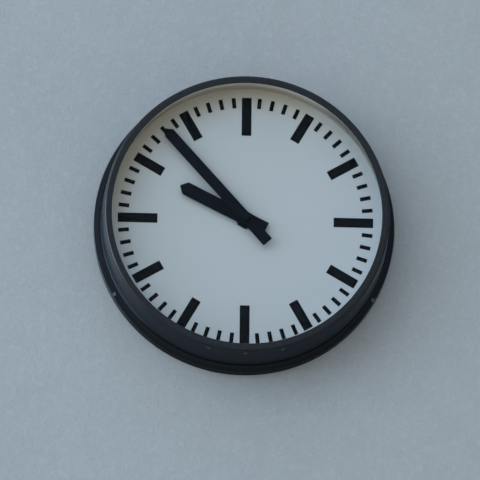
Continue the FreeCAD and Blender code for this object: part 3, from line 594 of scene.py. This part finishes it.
class ClockFinishes(bpy.types.PropertyGroup):
    """Colours of the clock's finishes."""

    case: colour_property("Case", "Paint of the pan and the bezel", (0.006, 0.01, 0.0155))
    dust: colour_property("Dust", "Dust on the case", (0.2, 0.22, 0.23))
    # Colour of the painted shade under the case, towards the wall
    underside_shade: colour_property("Soot", "Grime under the case", (0.005, 0.0048, 0.004))
    # Colour of the painted highlight at the foot of the bezel's left side
    bloom_and_highlight: colour_property("Bloom", "Pale film at the foot of the bezel", (0.07, 0.095, 0.14))
    dial: colour_property("Dial", "Paint of the dial", (0.382, 0.434, 0.498))
    # Colour of the painted warm shade on the dial's upper left rim
    dial_warm_shade: colour_property("Yellowing", "Paint of the dial where it has aged", (0.44, 0.4, 0.32))
    # Also the base of the painted shade on the surround's upper right
    dirt_and_shade: colour_property("Dirt", "Dirt on dial and surround", (0.3, 0.31, 0.3))
    surround: colour_property("Surround", "Paint of the ring between dial and glass", (0.42, 0.49, 0.6))
    # Colour of the painted warm shade on the ring's upper left
    ring_warm_shade: colour_property("Cream", "Paint of that ring where it has aged", (0.47, 0.43, 0.35))
    marks: colour_property("Marks", "Print of the dial marks", (0.0018, 0.0035, 0.006))
    hands: colour_property("Hands", "Paint of the hands", (0.0015, 0.004, 0.0075))
    glass: colour_property("Glass", "Tint of the glass", (0.97, 0.99, 0.985))
    eyelet: colour_property("Eyelets", "Plastic of the drain eyelets", (0.028, 0.031, 0.037))
    seal: colour_property("Seal", "Silicone around the glass", (0.66, 0.67, 0.66))
    steel: colour_property("Steel", "Screws, posts and arbors", (0.58, 0.59, 0.6))
    dulled: colour_property("Dulled steel", "Side screws", (0.1, 0.108, 0.118))
    brass: colour_property("Brass", "Wheels and tube", (0.68, 0.49, 0.2))
    copper: colour_property("Copper", "Coil wire", (0.72, 0.3, 0.13))
    moulding: colour_property("Moulding", "Movement case", (0.05, 0.052, 0.055))
    pale_moulding: colour_property("Pale moulding", "Bobbin and terminals", (0.7, 0.69, 0.63))
    rubber: colour_property("Rubber", "Grommet and washer", (0.018, 0.018, 0.02))
    insulation: colour_property("Insulation", "Coil leads", (0.42, 0.03, 0.025))


class ClockSizes(bpy.types.PropertyGroup):
    """Sizes of the pieces that are modelled here."""

    hand_edge: length_property("Hand edge", "Easing of the edges of the hands and what holds them", 0.00025)
    screw_edge: length_property("Screw edge", "Easing of the edges of the side screws", 0.0003)
    eyelet_bore: length_property("Eyelet bore", "Inner radius of the drain eyelets", 0.0011)
    eyelet_neck: length_property("Eyelet neck", "Outer radius of the drain eyelets' tube", 0.0014)
    eyelet_depth: length_property("Eyelet depth", "How far the eyelets reach in", 0.002)
    eyelet_rim: length_property("Eyelet rim", "Outer radius of the drain eyelets' flange", 0.0028)
    eyelet_proud: length_property("Eyelet height", "How far the eyelets stand out", 0.0005)


class ClockStage(bpy.types.PropertyGroup):
    """The wall, floor, light and camera."""

    wall: colour_property("Wall", "Paint of the wall", (0.313, 0.374, 0.431))
    floor: colour_property("Floor", "Colour of the floor", (0.82, 0.76, 0.68))
    sky: colour_property("Sky", "Colour of the light from all around", (0.9, 0.94, 0.98))
    haze: colour_property("Haze", "Colour of the sky as it is seen and mirrored", (0.76, 0.88, 1.0))
    ground: colour_property("Ground", "Colour of the light from below", (1.0, 0.86, 0.66))
    bright_side: FloatVectorProperty(
        name="Bright side",
        description="Where the sky is brightest",
        default=(-0.72, -0.62, 0.28),
        subtype="DIRECTION",
    )
    sky_strength: FloatProperty(
        name="Sky strength",
        description="Extra light from the bright side",
        default=1.15,
        min=0,
    )
    base_strength: FloatProperty(
        name="Base strength",
        description="Light from all around",
        default=0.26,
        min=0,
    )
    key_power: power_property("Key power", "Light from above the reader", 47.0)
    side_power: power_property("Side power", "Light from the reader's left", 45.0)
    fill_power: power_property("Fill power", "Light from behind the wall plane", 190.0)
    floor_drop: FloatProperty(
        name="Floor drop",
        description="Floor below the clock's axis",
        default=4.2,
        unit="LENGTH",
        min=1,
    )
    lens: FloatProperty(name="Lens", description="Focal length", default=450.0, min=1, unit="CAMERA")
    distance: FloatProperty(
        name="Distance",
        description="Camera to the dial",
        default=8.698,
        min=0.1,
        unit="LENGTH",
    )
    azimuth: angle_property("Azimuth", "Camera to the right of the dial", -2.99)
    elevation: angle_property("Elevation", "Camera above the dial", -15.77)
    roll: angle_property("Roll", "Camera turn about its view", 0.59)
    aim: FloatVectorProperty(
        name="Aim",
        description="Point at the middle of the picture",
        default=(-0.00736, -0.0437, -0.0275),
        subtype="XYZ",
        unit="LENGTH",
    )


def paint(node, material):
    """Gives a CAD node a finish."""
    slots = NODES[node].data.materials
    slots.clear()
    slots.append(material)


def mesh_object(name, shape, body=None):
    """A bmesh as an object at the origin, riding on a body."""
    mesh = bpy.data.meshes.new(name)
    shape.to_mesh(mesh)
    shape.free()
    piece = bpy.data.objects.new(name, mesh)
    bpy.context.scene.collection.objects.link(piece)
    if body:
        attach(piece, body)
    return piece


def ease_edges(shape, edges, width):
    """Rounds edges of a bmesh."""
    bmesh.ops.bevel(
        shape,
        geom=edges,
        offset=width,
        offset_type="OFFSET",
        affect="EDGES",
        segments=3,
        profile=0.5,
        material=-1,
        clamp_overlap=True,
    )


def eased_copy(node, body, width, material):
    """A copy of a CAD node with its sharp edges eased, shown in the node's place."""
    shape = bmesh.new()
    shape.from_mesh(NODES[node].data)
    bmesh.ops.remove_doubles(shape, verts=shape.verts, dist=WELD)
    bmesh.ops.dissolve_limit(shape, angle_limit=FLAT_ANGLE, verts=shape.verts, edges=shape.edges)
    sharp = [edge for edge in shape.edges if edge.is_manifold and edge.calc_face_angle() > SHARP_ANGLE]
    ease_edges(shape, sharp, width)
    piece = mesh_object(f"{node}_eased", shape, body)
    piece.data.shade_smooth()
    piece.data.set_sharp_from_angle(angle=SHARP_ANGLE)
    piece.modifiers.new("even_shading", "WEIGHTED_NORMAL").keep_sharp = True
    piece.data.materials.append(material)
    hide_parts(node)


class ClockOperator:
    """What the clock's operators share."""

    bl_options = {"REGISTER", "UNDO"}

    @property
    def finishes(self):
        return bpy.context.scene.clock_finishes

    @property
    def sizes(self):
        return bpy.context.scene.clock_sizes


class CLOCK_OT_case(ClockOperator, bpy.types.Operator):
    """Paint the pan and the bezel, and finish the screws that join them"""

    bl_idname = "clock.case"
    bl_label = "Case"

    def execute(self, context):
        colours = self.finishes
        paint("wall_pan", case_paint("pan_paint", colours, sheen=0.04, polish=0.0))
        paint("front_bezel", case_paint("bezel_paint", colours, sheen=0.08, polish=1.0))
        dulled = turned_metal("dulled_steel", colours.dulled, roughness=0.38, grooves=300.0)
        paint("side_screws", dulled)
        eased_copy("side_screws", "case", self.sizes.screw_edge, dulled)
        steel = turned_metal("bright_steel", colours.steel, roughness=0.22, grooves=300.0)
        for node in (
            "dial_pillars",
            "dial_screws",
            "cover_screws",
            "clamp_screws",
            "third_arbor",
            "rotor_shaft",
            "reverser_arbor",
            "minute_arbor",
        ):
            paint(node, steel)
        return {"FINISHED"}


class CLOCK_OT_drains(ClockOperator, bpy.types.Operator):
    """Line the three drain holes under the bezel with eyelets"""

    bl_idname = "clock.drains"
    bl_label = "Drain eyelets"

    def execute(self, context):
        radius = BEZEL_RADIUS - BEZEL_SLOPE * (DRAIN_DEPTH - PAN_DEPTH)
        lean = Matrix.Rotation(math.pi - math.atan(BEZEL_SLOPE), 4, "X")
        shape = self.eyelet(self.sizes)
        seat = Matrix.Translation((0, -DRAIN_DEPTH, -radius)) @ lean
        bmesh.ops.transform(shape, matrix=seat, verts=shape.verts)
        middle = shape.verts[:] + shape.edges[:] + shape.faces[:]
        for turn in (-DRAIN_STEP, DRAIN_STEP):
            copy = bmesh.ops.duplicate(shape, geom=middle)["geom"]
            verts = [part for part in copy if isinstance(part, bmesh.types.BMVert)]
            bmesh.ops.rotate(shape, verts=verts, cent=(0, 0, 0), matrix=Matrix.Rotation(turn, 3, "Y"))
        piece = mesh_object("drain_eyelets", shape, "case")
        piece.data.shade_smooth()
        piece.data.set_sharp_from_angle(angle=SHARP_ANGLE)
        plastic = moulded_plastic("eyelet_plastic", self.finishes.eyelet, roughness=0.35)
        piece.data.materials.append(plastic)
        return {"FINISHED"}

    def eyelet(self, sizes):
        """An eyelet along +Z: a section of tube and flange, spun about the axis, with its crown rounded."""
        bore = sizes.eyelet_bore
        neck = sizes.eyelet_neck
        rim = sizes.eyelet_rim
        depth = sizes.eyelet_depth
        proud = sizes.eyelet_proud
        corners = [(bore, -depth), (neck, -depth), (neck, 0), (rim, 0), (rim, proud), (bore, proud)]
        shape = bmesh.new()
        verts = [shape.verts.new((across, 0, up)) for across, up in corners]
        edges = [shape.edges.new((verts[i - 1], verts[i])) for i in range(len(verts))]
        bmesh.ops.spin(
            shape,
            geom=verts + edges,
            cent=(0, 0, 0),
            axis=(0, 0, 1),
            angle=math.tau,
            steps=EYELET_SIDES,
            use_merge=True,
        )
        bmesh.ops.remove_doubles(shape, verts=shape.verts, dist=WELD)
        bmesh.ops.recalc_face_normals(shape, faces=shape.faces)
        crown = [
            edge
            for edge in shape.edges
            if edge.calc_face_angle() > SHARP_ANGLE and all(vert.co.z > proud / 2 for vert in edge.verts)
        ]
        ease_edges(shape, crown, proud * 0.45)
        return shape


class CLOCK_OT_glazing(ClockOperator, bpy.types.Operator):
    """Finish the glass and its seal"""

    bl_idname = "clock.glazing"
    bl_label = "Glazing"

    def execute(self, context):
        colours = self.finishes
        paint("cover_glass", clear_glass(colours.glass))
        paint("glass_seal", soft_rubber("cream_silicone", colours.seal, roughness=0.45))
        return {"FINISHED"}


class CLOCK_OT_dial(ClockOperator, bpy.types.Operator):
    """Paint the dial and its surround, and print its marks"""

    bl_idname = "clock.dial"
    bl_label = "Dial"

    def execute(self, context):
        colours = self.finishes
        # The dial and the surround carry painted warm shade and painted shade in their paints
        paint("dial_plate", dial_paint(colours.dial, colours.dial_warm_shade, colours.dirt_and_shade))
        paint("dial_surround", surround_paint(colours.surround, colours.ring_warm_shade, colours.dirt_and_shade))
        ink = black_print("mark_print", colours.marks, roughness=0.5, wear=0.015)
        for node in ("quarter_marks", "hour_marks", "minute_marks"):
            paint(node, ink)
        return {"FINISHED"}


class CLOCK_OT_hands(ClockOperator, bpy.types.Operator):
    """Paint the hands and what holds them"""

    bl_idname = "clock.hands"
    bl_label = "Hands"

    def execute(self, context):
        enamel = black_print("hand_paint", self.finishes.hands, roughness=0.45, wear=0.02)
        edge = self.sizes.hand_edge
        for body, nodes in HAND_NODES.items():
            for node in nodes:
                paint(node, enamel)
                eased_copy(node, body, edge, enamel)
        paint("fixing_nut", enamel)
        return {"FINISHED"}


class CLOCK_OT_movement(ClockOperator, bpy.types.Operator):
    """Finish the movement, its train, its motor and its supply"""

    bl_idname = "clock.movement"
    bl_label = "Movement"

    def execute(self, context):
        colours = self.finishes
        grey = moulded_plastic("grey_moulding", colours.moulding, roughness=0.45)
        for node in ("movement_frame", "movement_cover", "setting_knob"):
            paint(node, grey)
        pale = moulded_plastic("pale_moulding", colours.pale_moulding, roughness=0.4)
        for node in ("coil_bobbin", "terminal_block"):
            paint(node, pale)
        brass = turned_metal("cut_brass", colours.brass, roughness=0.2, grooves=400.0)
        for node in ("minute_wheel", "third_wheel", "reverser_wheel", "hour_wheel", "hour_tube"):
            paint(node, brass)
        black = soft_rubber("black_rubber", colours.rubber, roughness=0.6)
        for node in ("cable_grommet", "movement_washer"):
            paint(node, black)
        paint("coil_winding", wound_copper(colours.copper))
        paint("stator_stack", stacked_sheets(shaded(colours.steel, 0.6)))
        ferrite = moulded_plastic("sintered_ferrite", shaded(colours.moulding, 0.8), roughness=0.5)
        paint("rotor_magnet", ferrite)
        insulation = moulded_plastic("lead_insulation", colours.insulation, roughness=0.3)
        paint("coil_leads", insulation)
        return {"FINISHED"}


def stage_sheet(name, size, turn, place):
    """A flat stage surface of one face, with its place in its mesh."""
    shape = bmesh.new()
    matrix = Matrix.Translation(place) @ turn.to_matrix().to_4x4()
    bmesh.ops.create_grid(shape, x_segments=1, y_segments=1, size=size / 2, matrix=matrix)
    sheet = mesh_object(name, shape)
    return sheet


def soft_lamp(name, power, size, place, colour):
    """A large square lamp that faces the clock."""
    data = bpy.data.lights.new(name, "AREA")
    data.energy = power
    data.size = size
    data.color = colour
    lamp = bpy.data.objects.new(name, data)
    lamp.location = place
    lamp.rotation_mode = "QUATERNION"
    lamp.rotation_quaternion = (-Vector(place)).to_track_quat("-Z", "Y")
    bpy.context.scene.collection.objects.link(lamp)
    return lamp


class CLOCK_OT_stage(ClockOperator, bpy.types.Operator):
    """Make the wall, the floor, the light and the camera"""

    bl_idname = "clock.stage"
    bl_label = "Stage"

    def execute(self, context):
        scene = context.scene
        stage = scene.clock_stage
        scene.view_settings.view_transform = "Standard"
        facing = Quaternion((1, 0, 0), math.radians(90))
        wall = stage_sheet("wall", WALL_LENGTH, facing, Vector((0, WALL_GAP, 0)))
        wall.data.materials.append(wall_plaster(stage.wall))
        wall.visible_shadow = False
        wall.visible_diffuse = False
        floor = stage_sheet("floor", FLOOR_LENGTH, Quaternion(), Vector((0, 0, -stage.floor_drop)))
        floor.data.materials.append(floor_stone(stage.floor))
        self.make_sky(scene, stage)
        self.make_lamps(stage)
        self.make_camera(scene, stage)
        return {"FINISHED"}

    def make_lamps(self, stage):
        """Two lamps on the reader's left, and one behind the wall plane for the views of the back."""
        soft_lamp(
            "key",
            stage.key_power,
            size=3.6,
            place=(-2.9, -4.2, 1.35),
            colour=(0.97, 0.98, 1.0),
        )
        soft_lamp(
            "side",
            stage.side_power,
            size=2.6,
            place=(-4.2, -1.7, 0.3),
            colour=(0.55, 0.78, 1.0),
        )
        fill = soft_lamp(
            "back_fill",
            stage.fill_power,
            size=3.0,
            place=(0.9, 4.6, 1.2),
            colour=(0.95, 0.98, 1.0),
        )
        fill.visible_glossy = False

    def make_sky(self, scene, stage):
        """Soft overcast light, brighter on one side and weaker from below. What is seen of it is pale."""
        scene.world = bpy.data.worlds.new("sky")
        sky = Finish(scene.world)
        x, y, z = sky.axes()
        bright = Vector(stage.bright_side).normalized()
        towards = x * bright.x + y * bright.y + z * bright.z
        overcast = stage.base_strength + stage.sky_strength * towards.between(-0.2, 1.0)
        above = z.between(-0.12, 0.05)
        colour = sky.mix(opaque(stage.ground), opaque(stage.sky), above)
        strength = overcast * (0.85 + 0.15 * above)
        light = sky.node("ShaderNodeBackground", None, {"Color": colour, "Strength": strength})
        paleness = 0.6 + 0.4 * towards.between(-0.8, 0.8)
        pale = sky.node("ShaderNodeBackground", None, {"Color": opaque(stage.haze), "Strength": paleness})
        path = sky.node("ShaderNodeLightPath")
        seen = path["Is Camera Ray"].larger(path["Is Glossy Ray"]).larger(path["Is Transmission Ray"])
        mixed = sky.node("ShaderNodeMixShader", None, {0: seen, 1: light[0], 2: pale[0]})
        sky.show(mixed[0], "ShaderNodeOutputWorld")

    def make_camera(self, scene, stage):
        """A long lens from below and a little to the left."""
        data = bpy.data.cameras.new("camera")
        data.sensor_width = 36.0
        data.lens = stage.lens
        data.clip_start = 0.1
        data.clip_end = 60.0
        camera = bpy.data.objects.new("camera", data)
        flat = math.cos(stage.elevation)
        back = Vector(
            (math.sin(stage.azimuth) * flat, -math.cos(stage.azimuth) * flat, math.sin(stage.elevation))
        )
        camera.location = Vector(stage.aim) + back * stage.distance
        camera.rotation_mode = "QUATERNION"
        camera.rotation_quaternion = (-back).to_track_quat("-Z", "Y") @ Quaternion((0, 0, 1), stage.roll)
        scene.collection.objects.link(camera)
        scene.camera = camera


class CLOCK_PT_looks(bpy.types.Panel):
    """The clock's finishes and stage"""

    bl_label = "Station clock"
    bl_idname = "CLOCK_PT_looks"
    bl_space_type = "VIEW_3D"
    bl_region_type = "UI"
    bl_category = "Clock"

    def draw(self, context):
        layout = self.layout
        for group in (context.scene.clock_finishes, context.scene.clock_sizes, context.scene.clock_stage):
            column = layout.column()
            for name in group.__annotations__:
                column.prop(group, name)
        for operator in OPERATORS:
            layout.operator(operator.bl_idname)


GROUPS = (ClockFinishes, ClockSizes, ClockStage)
OPERATORS = (
    CLOCK_OT_case,
    CLOCK_OT_drains,
    CLOCK_OT_glazing,
    CLOCK_OT_dial,
    CLOCK_OT_hands,
    CLOCK_OT_movement,
    CLOCK_OT_stage,
)
CLASSES = (*GROUPS, *OPERATORS, CLOCK_PT_looks)


def register():
    for item in CLASSES:
        bpy.utils.register_class(item)
    bpy.types.Scene.clock_finishes = PointerProperty(type=ClockFinishes)
    bpy.types.Scene.clock_sizes = PointerProperty(type=ClockSizes)
    bpy.types.Scene.clock_stage = PointerProperty(type=ClockStage)


def unregister():
    del bpy.types.Scene.clock_stage
    del bpy.types.Scene.clock_sizes
    del bpy.types.Scene.clock_finishes
    for item in reversed(CLASSES):
        bpy.utils.unregister_class(item)


def main():
    register()
    bpy.ops.clock.case()
    bpy.ops.clock.drains()
    bpy.ops.clock.glazing()
    bpy.ops.clock.dial()
    bpy.ops.clock.hands()
    bpy.ops.clock.movement()
    bpy.ops.clock.stage()


if __name__ == "__main__":
    main()
